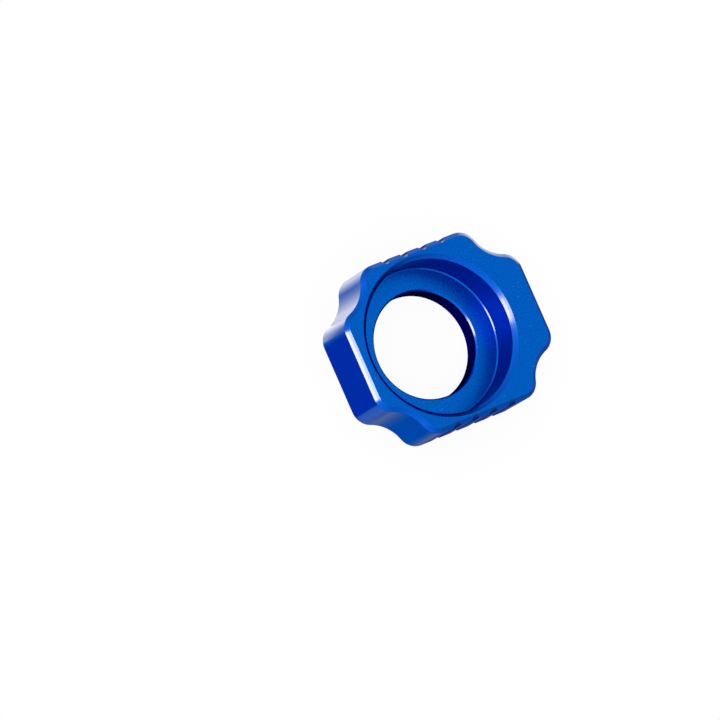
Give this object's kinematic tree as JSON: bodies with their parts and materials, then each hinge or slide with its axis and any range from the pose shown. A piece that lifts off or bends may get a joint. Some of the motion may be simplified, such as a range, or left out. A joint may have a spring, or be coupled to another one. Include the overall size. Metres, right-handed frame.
{
  "type": "motorcycle chain adjuster",
  "caption": "Motorcycle chain adjuster block in blue anodised aluminium: scalloped corners, a bore for the rear axle, a round recess for the axle's head, and grooved position marks.",
  "frame": {"origin": "centre of the axle bore at the block's back face", "axes": "+Z along the axle bore, out of the front face that holds the head recess; +X along the swingarm's slot, from the block's short end to its long end; +Y across the slot. It rests on its flat back face."},
  "size_m": [0.048, 0.041, 0.014],
  "materials": {
    "anodised_blue": "satin bead-blasted blue anodising, with bright cut edges"
  },
  "bodies": {
    "root": {"adjuster_block": "anodised_blue"}
  },
  "joints": []
}
